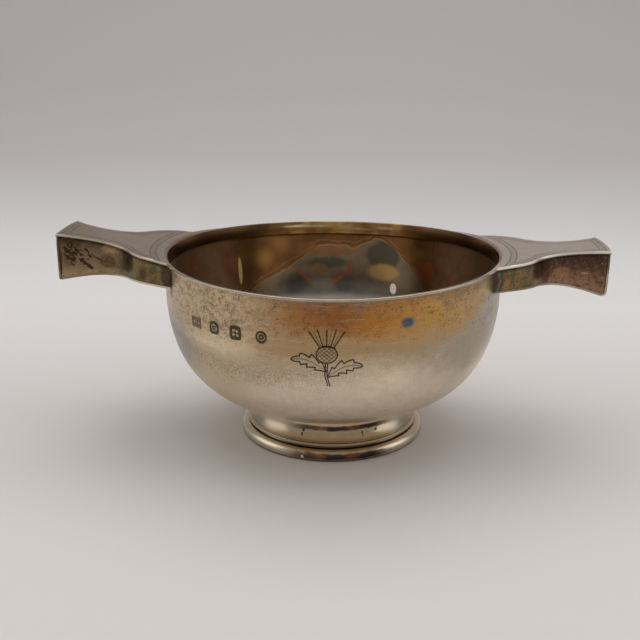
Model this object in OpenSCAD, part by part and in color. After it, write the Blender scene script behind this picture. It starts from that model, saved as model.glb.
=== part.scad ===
// Quaich: a round silver bowl on a spun foot, with two hollow sheet handles.
// Millimetres, +Z up, handles along X, origin under the middle of the foot.

/* [Bowl] */
// Outside diameter of the bowl's upright wall
bowl_d = 99.2; // [80:0.2:130]
// Thickness of the bowl's sheet
bowl_wall = 0.8; // [0.5:0.1:1.4]
// Height at which the wall starts to turn inwards
wall_from = 45.5; // [43:0.5:47]
// Radius of the side's curve
side_r = 48; // [44:1:60]
// Angle through which the side's curve turns
side_turn = 19; // [12:1:26]
// Height of the underside at the bowl's middle
bowl_base = 8.8; // [7.5:0.1:11]
// Radius of the shallow dish of the base
dish_r = 110; // [90:1:180]

/* [Rim] */
// Height of the rim's top at the handles
rim_h = 56.1; // [54:0.1:62]
// How far the rim dips at the front and the back
rim_sweep = 1.2; // [0.4:0.1:2]
// Height of the lip on the bowl's edge
lip_h = 0.65; // [0.5:0.05:1.2]
// How far the lip stands out from the bowl
lip_out = 0.4; // [0.2:0.05:0.8]
// Thickness of the band inside the bowl
band_wall = 0.5; // [0.4:0.05:1]
// Depth of the band inside the bowl, from the rim's top
band_h = 4; // [2.5:0.1:5.5]

/* [Foot] */
// Greatest diameter of the foot ring
foot_d = 56; // [48:0.2:66]
// Radius of the foot ring's round side
ring_r = 2.1; // [1.6:0.1:2.6]
// Height of the foot ring
ring_h = 3.4; // [2.8:0.1:3.8]
// How far the collar's flange stands back from the ring's side
flange_back = 1.9; // [1:0.1:2.5]
// Thickness of the flange's edge
flange_t = 0.9; // [0.6:0.1:1.4]
// Width of the flat land along the flange's edge
flange_land = 0.6; // [0.3:0.1:1]
// How far the neck stands back from the flange's edge
neck_back = 3.3; // [2.6:0.1:5]
// Height of the neck's straight part under the bowl
neck_straight = 0.8; // [0.4:0.1:1.2]
// Thickness of the collar's sheet
collar_wall = 0.9; // [0.6:0.1:1.2]
// Height of the groove between the ring and the flange
groove_h = 0.6; // [0.3:0.1:1]
// Depth of that groove
groove_d = 0.9; // [0.5:0.1:1.3]

/* [Handles] */
// How far the outer edge bows outwards
end_bow = 0.65; // [0.3:0.05:1.5]
// Distance from the rim's side to the waist
waist_out = 20; // [18:0.1:23]
// Width at the waist
waist_w = 14.9; // [11:0.1:20]
// Radius of the waist on the outer side
flare_r = 19.5; // [16:0.5:30]
// Radius of the waist on the bowl's side
waist_r = 14; // [11:0.5:18]
// Steepest angle of the outline between waist and shoulder
flare_angle = 56; // [45:1:62]
// Radius of the shoulder next to the bowl
shoulder_r = 21; // [17:0.5:26]
// Rise of the plate towards its outer end, in degrees
plate_rise = 8; // [4:0.5:12]

/* [Left handle] */
// Distance from the bowl's axis to the middle of its outer edge
left_reach = 80.5; // [74:0.1:86]
// Its set above the plate's rise, in degrees
left_set = 3.7; // [-3:0.1:4]
// Its depth below the plate's root, at the highest point of the underside
left_depth = 6.6; // [5:0.1:8]
// Distance from the rim's side to that highest point
left_arch = 0.3; // [0:0.1:12]
// Radius of its arched underside
left_arch_r = 130; // [70:1:180]

/* [Right handle] */
// Distance from the bowl's axis to the middle of its outer edge
right_reach = 80; // [74:0.1:86]
// Its set above the plate's rise, in degrees
right_set = -2.4; // [-3:0.1:4]
// Its depth below the plate's root, at the highest point of the underside
right_depth = 6.6; // [5:0.1:8]
// Distance from the rim's side to that highest point
right_arch = 6.3; // [0:0.1:12]
// Radius of its arched underside
right_arch_r = 85; // [70:1:180]

/* [Handle sheets] */
// Thickness of the top plate
plate_t = 0.75; // [0.5:0.05:1.2]
// Step from the rim's top down to the plate
plate_step = 0.15; // [0.05:0.05:0.4]
// How far the plate stands out from the strap's edges below it
plate_lap = 0.4; // [0.2:0.05:0.8]
// How far the corners of the plate's outer edge stand out from the strap
end_lap = 0.15; // [0.05:0.05:0.5]
// Thickness of the strap
strap_t = 0.8; // [0.5:0.05:1.2]
// Radius of the strap's bend at the outer end
bend_r = 1.4; // [1.3:0.1:2.5]
// How far the side walls stand back from the strap's edges
wall_back = 0.2; // [0.1:0.05:0.5]
// Thickness of the side walls
wall_t = 0.8; // [0.5:0.05:1.2]
// Width of a plate's wing along the rim, at its root
wing_w = 1.6; // [1:0.1:2.4]
// Angle round the rim at which a wing ends
wing_angle = 46; // [40:1:60]

/* [Hidden] */
$fn = 96;
arc_steps = 14;
spare = 20;

bowl_r = bowl_d / 2;
rim_r = bowl_r + lip_out;
bowl_in = bowl_r - bowl_wall;
band_in = bowl_in - band_wall;
sweep_r = rim_r * rim_r / (2 * rim_sweep);
sweep_steps = 1440;

// Bowl profile: side arc, corner arc and dish arc, each tangent to the next
side_c = [bowl_r - side_r, wall_from];
side_end = side_c + side_r * [cos(side_turn), -sin(side_turn)];
side_in = [-cos(side_turn), sin(side_turn)];
dish_c = [0, bowl_base + dish_r];
side_to_dish = side_end - dish_c;
corner_r = (dish_r * dish_r - side_to_dish * side_to_dish)
           / (2 * (side_to_dish * side_in + dish_r));
corner_c = side_end + corner_r * side_in;
dish_turn = atan2(corner_c[1] - dish_c[1], corner_c[0] - dish_c[0]);

// Foot profile
ring_c = [foot_d / 2 - ring_r, ring_h - ring_r];
flange_r = foot_d / 2 - flange_back;
flange_z = ring_h + groove_h;
flange_top = flange_z + flange_t;
seat_r = flange_r - groove_d;
seat_in = seat_r - collar_wall;
neck_r = flange_r - neck_back;
neck_z = dish_c[1] - sqrt(dish_r * dish_r - neck_r * neck_r) - neck_straight;

// Neck: a hollow arc, upright at its top, that ends on the flange's land
hollow_out = neck_back - flange_land;
hollow_down = neck_z - flange_top;
hollow_r = (hollow_out * hollow_out + hollow_down * hollow_down) / (2 * hollow_out);
hollow_c = [neck_r + hollow_r, neck_z];
hollow_turn = atan2(hollow_down, hollow_r - hollow_out);
under_turn = acos((hollow_c[0] - seat_in) / (hollow_r + collar_wall));

// Handle outline from the bowl to the waist
root_x = rim_r;
root_z = rim_h - plate_step;
waist_x = rim_r + waist_out;
waist_c = [waist_x, waist_w / 2 + waist_r];
flare_c = [waist_x, waist_w / 2 + flare_r];
shoulder_c = waist_c - (waist_r + shoulder_r) * [sin(flare_angle), cos(flare_angle)];

// Wing: a smaller circle moved outwards so that it crosses the rim at the wing's tips
wing_shift = wing_w / (1 - cos(wing_angle));
wing_r = rim_r + wing_w - wing_shift;

function arc(c, r, a0, a1) = [
    for (i = [0:arc_steps])
        let (a = a0 + (a1 - a0) * i / arc_steps)
            c + r * [cos(a), sin(a)]];
function reversed(list) = [for (i = [len(list) - 1:-1:0]) list[i]];
function mirrored(list) = [for (p = reversed(list)) [p[0], -p[1]]];

// The bowl's profile from the top down to the axis, moved inwards by the given depth
function bowl_profile(inset) = concat(
    [[bowl_r - inset, rim_h + spare]],
    arc(side_c, side_r - inset, 0, -side_turn),
    arc(corner_c, corner_r - inset, -side_turn, dish_turn),
    arc(dish_c, dish_r - inset, dish_turn, -90));

// Outer end of a handle, before it is set at its own angle; each handle gives its own $reach
function end_x() = $reach - end_bow;
function end_w() = flare_c[1] - sqrt(flare_r * flare_r - pow(end_x() - waist_x, 2));
function end_r() = (end_w() * end_w() + end_bow * end_bow) / (2 * end_bow);

// One edge of the handle's outline from the bowl to the outer end, moved inwards by the given depth
function handle_edge(inset) = concat(
    [[0, shoulder_c[1] + shoulder_r - inset]],
    arc(shoulder_c, shoulder_r - inset, 90, 90 - flare_angle),
    arc(waist_c, waist_r + inset, 270 - flare_angle, 270),
    arc(flare_c, flare_r + inset, 270, 270 + asin((end_x() - waist_x) / flare_r)),
    [[$reach + spare, end_w()]]);

// Underside of a handle: an arch and the bend up to its end, from its own $depth, $arch and $arch_r
function arch_c() = [root_x + $arch, root_z - $depth - $arch_r];
function strap_end() = end_x() - end_lap;
function bend_x() = strap_end() - bend_r;
function bend_z() = arch_c()[1] + sqrt(pow($arch_r + bend_r, 2) - pow(bend_x() - arch_c()[0], 2));
function bend_turn() = atan2(bend_z() - arch_c()[1], bend_x() - arch_c()[0]);

// The strap's outer face from inside the bowl to above the plate, moved inwards by the given depth
function strap_face(inset) = concat(
    arc(arch_c(), $arch_r + inset, 90 + asin((root_x - bowl_in / 2 + $arch) / $arch_r), bend_turn()),
    arc([bend_x(), bend_z()], bend_r - inset, bend_turn() - 180, 0),
    [[strap_end() - inset, root_z + spare]]);

// Everything below the swept surface whose top is at the given height
module below_sweep(top) {
    translate([0, 0, top - sweep_r])
        rotate([0, 90, 0])
            cylinder(r = sweep_r, h = 4 * rim_r, center = true, $fn = sweep_steps);
}

// What the handles are fitted against: the bowl's wall and the lip round it
module vessel_outside() {
    cylinder(r = bowl_r, h = rim_h + spare);
    difference() {
        cylinder(r = rim_r, h = rim_h + spare);
        below_sweep(rim_h - lip_h);
    }
}

module bowl() {
    color("silver")
        intersection() {
            rotate_extrude()
                polygon(concat(bowl_profile(0), reversed(bowl_profile(bowl_wall))));
            below_sweep(rim_h - lip_h);
        }
}

module rim_band() {
    color("gainsboro")
        difference() {
            intersection() {
                cylinder(r = rim_r, h = rim_h + spare);
                below_sweep(rim_h);
            }
            cylinder(r = band_in, h = rim_h + spare);
            below_sweep(rim_h - band_h);
            difference() {
                below_sweep(rim_h - lip_h);
                cylinder(r = bowl_in, h = rim_h + spare);
            }
        }
}

module foot_collar() {
    color("silver")
        rotate_extrude()
            difference() {
                polygon(concat(
                    [[neck_r, bowl_base + spare]],
                    arc(hollow_c, hollow_r, 180, 180 + hollow_turn),
                    [[flange_r, flange_top], [flange_r, flange_z], [seat_r, flange_z]],
                    [[seat_r, ring_h], [seat_in, ring_h]],
                    reversed(arc(hollow_c, hollow_r + collar_wall, 180, 180 + under_turn)),
                    [[neck_r - collar_wall, bowl_base + spare]]));
                polygon(concat(bowl_profile(0), [[0, rim_h + spare]]));
            }
}

module foot_ring() {
    color("gainsboro")
        rotate_extrude()
            intersection() {
                union() {
                    translate(ring_c) circle(r = ring_r);
                    translate([seat_in, 0]) square([ring_c[0] - seat_in, ring_h]);
                }
                translate([seat_in, 0]) square([foot_d / 2, ring_h]);
            }
}

// Upright block of the handle's outline, moved inwards, its outer end cut at the given distance
module outline_block(inset, end_cut) {
    linear_extrude(height = rim_h + 2 * spare)
        intersection() {
            polygon(concat(handle_edge(inset), mirrored(handle_edge(inset))));
            square([2 * end_cut, 2 * rim_r], center = true);
        }
}

// Extrudes a side profile, drawn in X and Z, across the handle
module across() {
    translate([0, rim_r, 0])
        rotate([90, 0, 0])
            linear_extrude(height = 2 * rim_r) children();
}

// Half-plane above or below the plate's sloping top, moved down by the given depth
module plate_line(depth, side) {
    translate([root_x, root_z])
        rotate(plate_rise)
            translate([-2 * rim_r, side > 0 ? -depth : -depth - 2 * rim_r])
                square([4 * rim_r, 2 * rim_r]);
}

module plate_sheet() {
    intersection() {
        outline_block(0, $reach);
        translate([$reach - end_r(), 0, 0]) cylinder(r = end_r(), h = rim_h + 2 * spare);
        across() intersection() {
            plate_line(0, -1);
            plate_line(plate_t, 1);
        }
    }
}

// Crescent of sheet that carries the plate's edges along the rim
module wings() {
    difference() {
        intersection() {
            translate([wing_shift, 0, 0]) cylinder(r = wing_r, h = rim_h + spare);
            below_sweep(root_z);
        }
        below_sweep(root_z - plate_t);
        vessel_outside();
    }
}

// Hollow of the handle between strap and plate
module handle_space() {
    across() intersection() {
        polygon(concat(strap_face(strap_t), [[0, root_z + spare]]));
        plate_line(plate_t, -1);
    }
}

module strap_sheet() {
    intersection() {
        outline_block(plate_lap, strap_end());
        across() intersection() {
            polygon(concat(strap_face(0), reversed(strap_face(strap_t))));
            plate_line(plate_t, -1);
        }
    }
}

// One side wall: side is -1 at the front and 1 at the back
module wall_sheet(side) {
    inset = plate_lap + wall_back;
    intersection() {
        difference() {
            outline_block(inset, $reach);
            outline_block(inset + wall_t, $reach);
        }
        handle_space();
        translate([0, side > 0 ? 0 : -rim_r, 0]) cube([2 * rim_r, rim_r, rim_h + 2 * spare]);
    }
}

// Sets a handle's piece at its own angle about the rim, and fits it to the vessel
module set_handle() {
    difference() {
        translate([root_x, 0, root_z])
            rotate([0, -$set, 0])
                translate([-root_x, 0, -root_z]) children();
        vessel_outside();
    }
}

module top_plate() {
    color("darkgray") {
        set_handle() plate_sheet();
        wings();
    }
}

module under_strap() {
    color("silver") set_handle() strap_sheet();
}

module side_wall(side) {
    color("rosybrown")
        difference() {
            set_handle() wall_sheet(side);
            wings();
        }
}

// Draws its pieces with the left handle's own sizes, on the left
module left_handle() {
    $reach = left_reach;
    $set = left_set;
    $depth = left_depth;
    $arch = left_arch;
    $arch_r = left_arch_r;
    mirror([1, 0, 0]) children();
}

// Draws its pieces with the right handle's own sizes
module right_handle() {
    $reach = right_reach;
    $set = right_set;
    $depth = right_depth;
    $arch = right_arch;
    $arch_r = right_arch_r;
    children();
}

module left_top_plate() { left_handle() top_plate(); }
module left_under_strap() { left_handle() under_strap(); }
module left_front_wall() { left_handle() side_wall(-1); }
module left_back_wall() { left_handle() side_wall(1); }
module right_top_plate() { right_handle() top_plate(); }
module right_under_strap() { right_handle() under_strap(); }
module right_front_wall() { right_handle() side_wall(-1); }
module right_back_wall() { right_handle() side_wall(1); }

bowl();
rim_band();
foot_collar();
foot_ring();
left_top_plate();
left_under_strap();
left_front_wall();
left_back_wall();
right_top_plate();
right_under_strap();
right_front_wall();
right_back_wall();
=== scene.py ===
import math

import bmesh
import bpy
import numpy as np
from mathutils import Matrix, Vector, noise


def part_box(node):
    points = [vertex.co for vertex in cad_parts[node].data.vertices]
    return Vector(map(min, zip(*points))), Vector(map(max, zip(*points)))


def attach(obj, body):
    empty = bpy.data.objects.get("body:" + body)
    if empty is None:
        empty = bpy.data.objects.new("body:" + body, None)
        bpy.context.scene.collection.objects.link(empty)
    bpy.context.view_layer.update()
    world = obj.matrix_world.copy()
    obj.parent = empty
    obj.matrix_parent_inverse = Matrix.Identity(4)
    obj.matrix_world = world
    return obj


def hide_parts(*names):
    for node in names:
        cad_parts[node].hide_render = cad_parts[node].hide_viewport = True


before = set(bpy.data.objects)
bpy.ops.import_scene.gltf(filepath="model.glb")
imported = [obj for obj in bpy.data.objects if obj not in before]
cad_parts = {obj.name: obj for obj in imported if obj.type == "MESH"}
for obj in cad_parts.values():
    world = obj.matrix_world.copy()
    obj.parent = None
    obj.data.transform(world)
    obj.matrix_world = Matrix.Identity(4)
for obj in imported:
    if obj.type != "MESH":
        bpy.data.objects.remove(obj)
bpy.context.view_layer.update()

mm = 0.001  # shapes are drawn in millimetres and scaled once, when a piece is finished
weld = 0.004  # points nearer than this are joined
clear = 0.01  # pieces end this far inside the solids' box
sharpFrom = 35  # degrees from which a bend stays a hard edge


def nodeBox(name):
    low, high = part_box(name)
    return low / mm, high / mm


bowlLow, bowlHigh = nodeBox("bowl")
rimHigh = nodeBox("rim_band")[1]
ringHigh = nodeBox("foot_ring")[1]
collarLow, collarHigh = nodeBox("foot_collar")
bowlR, bowlBase = bowlHigh.x, bowlLow.z
rimR, rimTop = rimHigh.x, rimHigh.z
rimDip = 1.2  # the rim is this much lower at the front and back than at the handles


def sweepDip(y):
    return rimDip * (y / rimR) ** 2


def share(value):
    return min(1, max(0, value))


# Camera: place and tilt found from the rim, the foot and the handles' edges
cameraSet = {
    "place": (7.73, -274.3, 119.1),
    "pitch": 0.300,
    "turn": 0.042,
    "roll": 0.003,
    "lens": 53.0,
    "sensor": 36,
    "clip": (0.01, 20),
}


def makeCamera():
    s = cameraSet
    data = bpy.data.cameras.new("camera")
    data.sensor_width = s["sensor"]
    data.lens = s["lens"]
    data.clip_start, data.clip_end = s["clip"]
    cam = bpy.data.objects.new("camera", data)
    bpy.context.collection.objects.link(cam)
    turn = Matrix.Rotation(s["turn"], 4, "Z")
    pitch = Matrix.Rotation(math.pi / 2 - s["pitch"], 4, "X")
    roll = Matrix.Rotation(s["roll"], 4, "Z")
    cam.matrix_world = Matrix.Translation(Vector(s["place"]) * mm) @ turn @ pitch @ roll
    bpy.context.scene.camera = cam


makeCamera()
print("camera placed")


def linear(hexColour):
    parts = [int(hexColour[i:i + 2], 16) / 255 for i in (0, 2, 4)]
    return tuple(p / 12.92 if p <= 0.04045 else ((p + 0.055) / 1.055) ** 2.4 for p in parts) + (1,)


def setInputs(node, inputs):
    # a socket is linked, a string is a colour, and anything else is a constant
    for key, value in inputs.items():
        if isinstance(value, bpy.types.NodeSocket):
            node.id_data.links.new(value, node.inputs[key])
        else:
            node.inputs[key].default_value = linear(value) if isinstance(value, str) else value


# Settings shared by the materials' small nodes
smooth = {"interpolation_type": "SMOOTHSTEP"}
times = {"operation": "MULTIPLY"}
plus = {"operation": "ADD"}
minus = {"operation": "SUBTRACT"}
absolute = {"operation": "ABSOLUTE"}
greatest = {"operation": "MAXIMUM"}
timesPlus = {"operation": "MULTIPLY_ADD"}
length = {"operation": "LENGTH"}
measured = {"vector_type": "TEXTURE"}
mixed = {"data_type": "RGBA"}
oxideAndShadeLayer = {"attribute_name": "oxide"}
fallLayer = {"attribute_name": "fall"}
noiseSockets = ("Scale", "Detail", "Roughness")
stepSockets = (0, 1, 2, 4, 3)  # value, start and end of a step, then its top and its bottom


class Paint:
    # one material and its nodes, placed by object coordinates in millimetres
    def __init__(self, name):
        self.material = bpy.data.materials.new(name)
        self.material.use_nodes = True
        self.tree = self.material.node_tree
        self.tree.nodes.clear()
        self.shader = self.tree.nodes.new("ShaderNodeBsdfPrincipled")
        output = self.tree.nodes.new("ShaderNodeOutputMaterial")
        self.tree.links.new(self.shader.outputs["BSDF"], output.inputs["Surface"])
        place = self.add("TexCoord", out="Object")
        self.place = self.add("Mapping", {"Vector": place, "Scale": (1 / mm, 1 / mm, 1 / mm)})
        self.x, self.y, self.z = self.add("SeparateXYZ", {0: self.place}).node.outputs

    def add(self, kind, inputs=None, settings=None, out=0):
        node = self.tree.nodes.new("ShaderNode" + kind)
        for key, value in (settings or {}).items():
            if key == "ramp":
                stops = node.color_ramp.elements
                while len(stops) < len(value):
                    stops.new(0.5)
                for stop, (place, colour) in zip(stops, value):
                    stop.position = place
                    stop.color = linear(colour) if isinstance(colour, str) else (colour, colour, colour, 1)
            elif key == "blend":
                node.color_ramp.interpolation = value
            else:
                setattr(node, key, value)
        setInputs(node, inputs or {})
        return node.outputs[out]

    def mask(self, *steps):
        # product of masks: each is a socket, or a value with the start, end, top and bottom of a smooth step
        mask = None
        for step in steps:
            if isinstance(step, tuple):
                step = self.add("MapRange", dict(zip(stepSockets, step)), smooth)
            mask = step if mask is None else self.add("Math", {0: mask, 1: step}, times)
        return mask

    def lay(self, colour, *layers):
        # lays colours over a colour, each through the product of its masks
        for shade, *steps in layers:
            colour = self.add("Mix", {0: self.mask(*steps), 6: colour, 7: shade}, mixed, 2)
        return colour

    def shake(self, value, *shakes):
        # a value made uneven by noises, each given with how far it shifts the value either way
        for source, far in shakes:
            shift = self.add("MapRange", {0: source, 1: 0.3, 2: 0.7, 3: -far, 4: far})
            value = self.add("Math", {0: value, 1: shift}, plus)
        return value

    def away(self, value, middle):
        gap = self.add("Math", {0: value, 1: middle}, minus)
        return self.add("Math", {0: gap}, absolute)

    def fromAxis(self):
        # distance from the cup's axis
        flat = self.add("CombineXYZ", {0: self.x, 1: self.y})
        return self.add("VectorMath", {0: flat}, length, "Value")

    def rightHalf(self):
        # mask of the cup's right half
        return self.add("MapRange", {0: self.x, 1: -10.0, 2: 10.0})

    def spots(self, colour, ragged, marks):
        # soft spots over a colour, their edges made ragged by a noise
        edge = marks["edge"]
        for at, half, turned, soft, shade, strength in marks["spots"]:
            spot = self.add("Mapping", {
                "Vector": self.place, "Location": at, "Rotation": (0.0, turned, 0.0),
                "Scale": (half[0], marks["deep"], half[1])}, measured)
            spot = self.add("VectorMath", {0: spot}, length, "Value")
            spot = self.add("Math", {0: ragged, 1: marks["ragged"], 2: spot}, timesPlus)
            colour = self.lay(colour, (shade, (spot, edge + soft, edge - soft, strength)))
        return colour


def makeSilver(name, paint, *noises):
    # a metal whose own function is given the noises: scale, detail and roughness of each
    p = Paint(name)
    made = [p.add("TexNoise", {"Vector": p.place, **dict(zip(noiseSockets, n))}) for n in noises]
    setInputs(p.shader, {"Metallic": 1, **paint(p, *made)})
    return p.material


# Each list of spots: how ragged, how deep into the sheet, where the edge lies in half sizes, and the spots.
# Each spot: middle, half sizes across and up, turn, softness, colour and strength.
blueSpot = {"ragged": 1.0, "deep": 1.9, "edge": 1.45, "spots": (
    ((20.5, -45.2, 47.9), (1.9, 1.35), 0.0, 0.55, "3c566e", 0.95),
)}
rootShade = {"ragged": 0.0, "deep": 1.7, "edge": 0.95, "spots": (
    ((-44.9, -21.8, 51.2), (1.7, 4.4), 0.0, 0.25, "40322a", 0.85),
)}
scratches = (((0.0, 0.9, 0.3), (0.05, 0.05, 2.2)), ((0.0, -1.0, 0.2), (0.05, 0.05, 1.8)))  # turn and stretch


# Worn sterling silver outside the bowl: satin tan below, gold and brown tarnish under the rim with a painted
# reflection of a dark room in it, grey bloom at the sides
def paintWornSilverAndReflection(p, broad, cloud, grain, blotch):
    oxide = p.add("Attribute", None, oxideAndShadeLayer, "Fac")
    # height and side, both made uneven by the noises
    shakes = ((broad, 1.8), (cloud, 1.0), (grain, 1.4))
    level = p.shake(p.z, *shakes)
    along = p.shake(p.x, *shakes)

    # satin tan with faint olive clouds, darker above the middle as a painted reflection of a dark room, pale
    # left, grey right, and a grey-brown haze low on the left, sharp above and fading downwards
    hazeGrain = p.add("MapRange", {0: grain, 1: 0.35, 2: 0.65, 3: 0.25, 4: 1.0})
    colour = p.lay(
        "ebddc4",
        ("f5e8d4", (cloud, 0.35, 0.65)),
        ("a98e6a", (level, 30.5, 42.5)),
        ("ead9b9", (along, -14.0, -30.0, 0.9)),
        ("aca08d", (along, 14.0, 36.0, 0.85), (level, 26.0, 35.0)),
        ("9c8a70", (level, 38.2, 34.6), (level, 25.0, 35.0), (along, 24.0, -10.0), hazeGrain))

    # gold and brown tarnish with a painted reflection of a dark room in it, by side, reaching lower on the
    # right, with olive round it and a dull strip under the lip, also painted reflection
    side = p.add("MapRange", {0: along, 1: -50.0, 2: 50.0})
    gold = p.add("ValToRGB", {0: side}, {"ramp": (
        (0.2, "ab906c"), (0.36, "a77b4c"), (0.52, "976238"),
        (0.64, "b97f3e"), (0.76, "c09455"), (0.95, "b79d76"))})
    goldLow = p.add("MapRange", {0: along, 1: 0.0, 2: 36.0, 4: 1.4})
    goldHigh = p.add("Math", {0: level, 1: goldLow}, plus)
    goldMask = p.mask((goldHigh, 39.0, 51.0), (along, -34.0, -14.0))
    colour = p.lay(
        colour,
        ("b39a72", (goldMask, 0.0, 0.4, 0.85)),
        (gold, (goldMask, 0.2, 0.95)),
        ("84735c", (level, 50.8, 54.6, 0.6)))

    # grey bloom: a slanting edge high on the right, a soft one on the far left; frost high on the left,
    # with brown blotches; a mottled tide line round the middle
    slant = p.add("Math", {0: p.z, 1: -1.05, 2: along}, timesPlus)
    bloom = p.mask((slant, -11.5, -6.5), (level, 36.0, 45.0))
    frost = p.mask((along, -8.0, -26.0), (level, 37.0, 46.0))
    tide = p.away(level, 37.2)
    colour = p.lay(
        colour,
        ("a89e94", bloom),
        ("8c8581", (along, -33.0, -45.0)),
        ("cbb492", frost),
        ("7a6a55", (tide, 1.8, 0.0, 0.45), (along, 12.0, -12.0, 1.0, 0.35), grain),
        ("8a7350", (blotch, 0.47, 0.6, 0.7), frost))

    # specks: thick on the frost, the bloom and the gold, few elsewhere
    thick = p.add("Math", {0: frost, 1: bloom}, greatest)
    thick = p.add("Math", {0: thick, 1: goldMask}, greatest)
    edge = p.add("MapRange", {0: thick, 3: 0.62, 4: 0.48})
    speck = p.add("Math", {0: grain, 1: edge}, minus)
    colour = p.lay(
        colour,
        ("5d4b34", (speck, 0.0, 0.12, 0.8), (cloud, 0.42, 0.6)),
        ("ddd2c2", (grain, 0.36, 0.26, 0.45)))

    # one small blue tarnish spot, and a dark reflection beside the left handle's root
    colour = p.spots(colour, grain, blueSpot)
    colour = p.spots(colour, grain, rootShade)
    for turned, stretch in scratches:
        line = p.add("Mapping", {"Vector": p.place, "Rotation": turned, "Scale": stretch})
        line = p.add("TexNoise", {"Vector": line, "Scale": 1.0, "Detail": 2.0})
        colour = p.lay(colour, ("e2d8c6", (p.away(line, 0.62), 0.01, 0.0, 0.35)))
    colour = p.lay(colour, ("2c231b", oxide))
    rough = p.add("MapRange", {0: cloud, 1: 0.3, 2: 0.7, 3: 0.26, 4: 0.38})
    bump = p.add("Bump", {"Height": grain, "Strength": 0.2, "Distance": 0.00006})
    return {"Base Color": colour, "Roughness": rough, "Normal": bump}


wornSilverAndReflection = makeSilver(
    "wornSilverAndReflection", paintWornSilverAndReflection, (0.09, 3.0), (0.42, 6.0, 0.65), (2.1, 5.0, 0.75), (0.75, 6.0, 0.75))


# Painted reflections of the room on the far inside wall, with a painted highlight streak and glint
insideReflections = {"ragged": 0.5, "deep": 9.0, "edge": 1.25, "spots": (
    ((-25.0, 41.9, 43.7), (2.6, 2.6), 0.3, 0.9, "b88d52", 0.5),
    ((-19.7, 44.6, 48.1), (3.2, 2.4), 0.4, 0.9, "a47a45", 0.5),
    ((-2.5, 48.7, 44.4), (11.0, 1.7), 0.0, 0.4, "84603f", 0.75),
    ((-24.0, 40.5, 33.5), (4.4, 2.6), 0.0, 0.4, "87745c", 0.5),
    ((-13.9, 45.2, 33.5), (4.6, 3.8), 0.0, 0.5, "494c44", 0.7),
    ((-3.0, 48.5, 40.5), (7.4, 2.0), 0.0, 0.4, "494c44", 0.7),
    ((3.1, 47.1, 33.2), (4.0, 2.6), 0.0, 0.4, "4a4d46", 0.6),
    ((25.6, 40.4, 35.9), (3.4, 4.6), 0.2, 0.4, "867b6c", 0.55),
    ((16.2, 45.7, 43.4), (5.4, 5.0), 0.0, 0.15, "494740", 0.8),
    ((16.4, 45.2, 37.9), (5.3, 2.7), 0.0, 0.25, "b4935f", 0.75),
    ((-11.3, 46.6, 36.0), (0.6, 3.0), -0.75, 0.2, "a55f49", 0.8),
    ((-13.8, 46.3, 38.0), (1.5, 0.5), 0.1, 0.3, "a05c48", 0.7),
    ((0.4, 47.6, 34.9), (0.6, 3.0), 1.0, 0.2, "a55f49", 0.8),
    ((3.6, 48.0, 36.9), (1.3, 0.6), 0.0, 0.3, "a55f49", 0.7),
    ((4.5, 48.2, 39.2), (0.7, 2.4), 0.15, 0.2, "9c5c46", 0.8),
    ((-6.0, 47.8, 38.2), (3.0, 1.9), 0.2, 0.25, "8a7450", 0.75),
    ((37.6, 30.3, 38.7), (0.5, 2.0), 0.1, 0.3, "9a5238", 0.5),
    ((31.3, 37.3, 41.0), (1.8, 2.4), 0.2, 0.3, "a8573a", 0.6),
    ((-36.0, 33.0, 43.5), (0.7, 5.2), -0.1, 0.3, "94523a", 0.6),
    ((-45.2, 18.2, 47.6), (1.1, 2.4), 0.0, 0.3, "9a5238", 0.5),
    # a painted highlight streak and a painted white glint
    ((-32.5, 35.9, 40.2), (0.55, 4.6), -0.07, 0.2, "ffe6a8", 1.0),
    ((19.8, 42.6, 32.8), (1.1, 1.7), 0.0, 0.2, "ffffff", 1.0),
)}


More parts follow.
